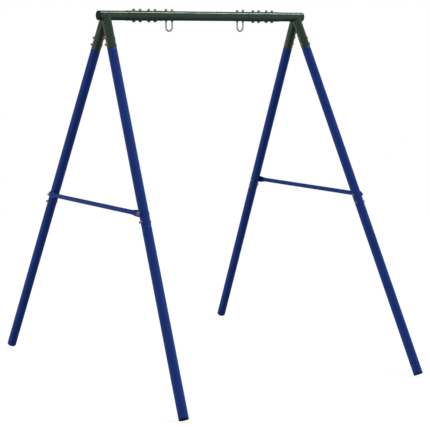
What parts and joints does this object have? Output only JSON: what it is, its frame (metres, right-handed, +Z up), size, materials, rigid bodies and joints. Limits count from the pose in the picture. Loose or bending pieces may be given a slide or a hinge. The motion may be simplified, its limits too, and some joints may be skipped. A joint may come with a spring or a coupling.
{
  "type": "hammock chair stand",
  "caption": "Freestanding A-frame stand for a hammock chair: green top beam with two hanging loops on splayed blue tube legs, bolted together.",
  "frame": {"origin": "on the floor, under the middle of the top beam", "axes": "+X along the top beam, +Y from the front feet to the rear feet, +Z up"},
  "size_m": [1.463, 1.8076, 1.8464],
  "materials": {
    "green_powder_coat": "semi-gloss dark green powder coat",
    "blue_powder_coat": "semi-gloss royal blue powder coat",
    "zinc_plated_steel": "bright zinc plate",
    "black_plastic": "matte black moulded plastic"
  },
  "bodies": {
    "root": {"middle_beam_tube": "green_powder_coat", "left_beam_tube": "green_powder_coat", "left_coupling_sleeve": "green_powder_coat", "left_beam_end_cap": "black_plastic", "left_front_leg_socket": "green_powder_coat", "left_front_upper_leg": "blue_powder_coat", "left_front_lower_leg": "blue_powder_coat", "left_front_foot_cap": "black_plastic", "left_rear_leg_socket": "green_powder_coat", "left_rear_upper_leg": "blue_powder_coat", "left_rear_lower_leg": "blue_powder_coat", "left_rear_foot_cap": "black_plastic", "left_crossbar": "blue_powder_coat", "left_hanger_u_bolt": "zinc_plated_steel", "left_hanger_nuts": "zinc_plated_steel", "left_hanger_jam_nuts": "zinc_plated_steel", "left_hanger_washers": "zinc_plated_steel", "left_beam_joint_bolts": "zinc_plated_steel", "left_beam_joint_nuts": "zinc_plated_steel", "left_beam_joint_washers": "zinc_plated_steel", "left_socket_bolts": "zinc_plated_steel", "left_socket_nuts": "zinc_plated_steel", "left_socket_washers": "zinc_plated_steel", "left_crossbar_bolts": "zinc_plated_steel", "left_crossbar_nuts": "zinc_plated_steel", "left_crossbar_washers": "zinc_plated_steel", "left_leg_joint_bolts": "zinc_plated_steel", "left_leg_joint_nuts": "zinc_plated_steel", "left_leg_joint_washers": "zinc_plated_steel", "right_beam_tube": "green_powder_coat", "right_coupling_sleeve": "green_powder_coat", "right_beam_end_cap": "black_plastic", "right_front_leg_socket": "green_powder_coat", "right_front_upper_leg": "blue_powder_coat", "right_front_lower_leg": "blue_powder_coat", "right_front_foot_cap": "black_plastic", "right_rear_leg_socket": "green_powder_coat", "right_rear_upper_leg": "blue_powder_coat", "right_rear_lower_leg": "blue_powder_coat", "right_rear_foot_cap": "black_plastic", "right_crossbar": "blue_powder_coat", "right_hanger_u_bolt": "zinc_plated_steel", "right_hanger_nuts": "zinc_plated_steel", "right_hanger_jam_nuts": "zinc_plated_steel", "right_hanger_washers": "zinc_plated_steel", "right_beam_joint_bolts": "zinc_plated_steel", "right_beam_joint_nuts": "zinc_plated_steel", "right_beam_joint_washers": "zinc_plated_steel", "right_socket_bolts": "zinc_plated_steel", "right_socket_nuts": "zinc_plated_steel", "right_socket_washers": "zinc_plated_steel", "right_crossbar_bolts": "zinc_plated_steel", "right_crossbar_nuts": "zinc_plated_steel", "right_crossbar_washers": "zinc_plated_steel", "right_leg_joint_bolts": "zinc_plated_steel", "right_leg_joint_nuts": "zinc_plated_steel", "right_leg_joint_washers": "zinc_plated_steel"}
  },
  "joints": []
}
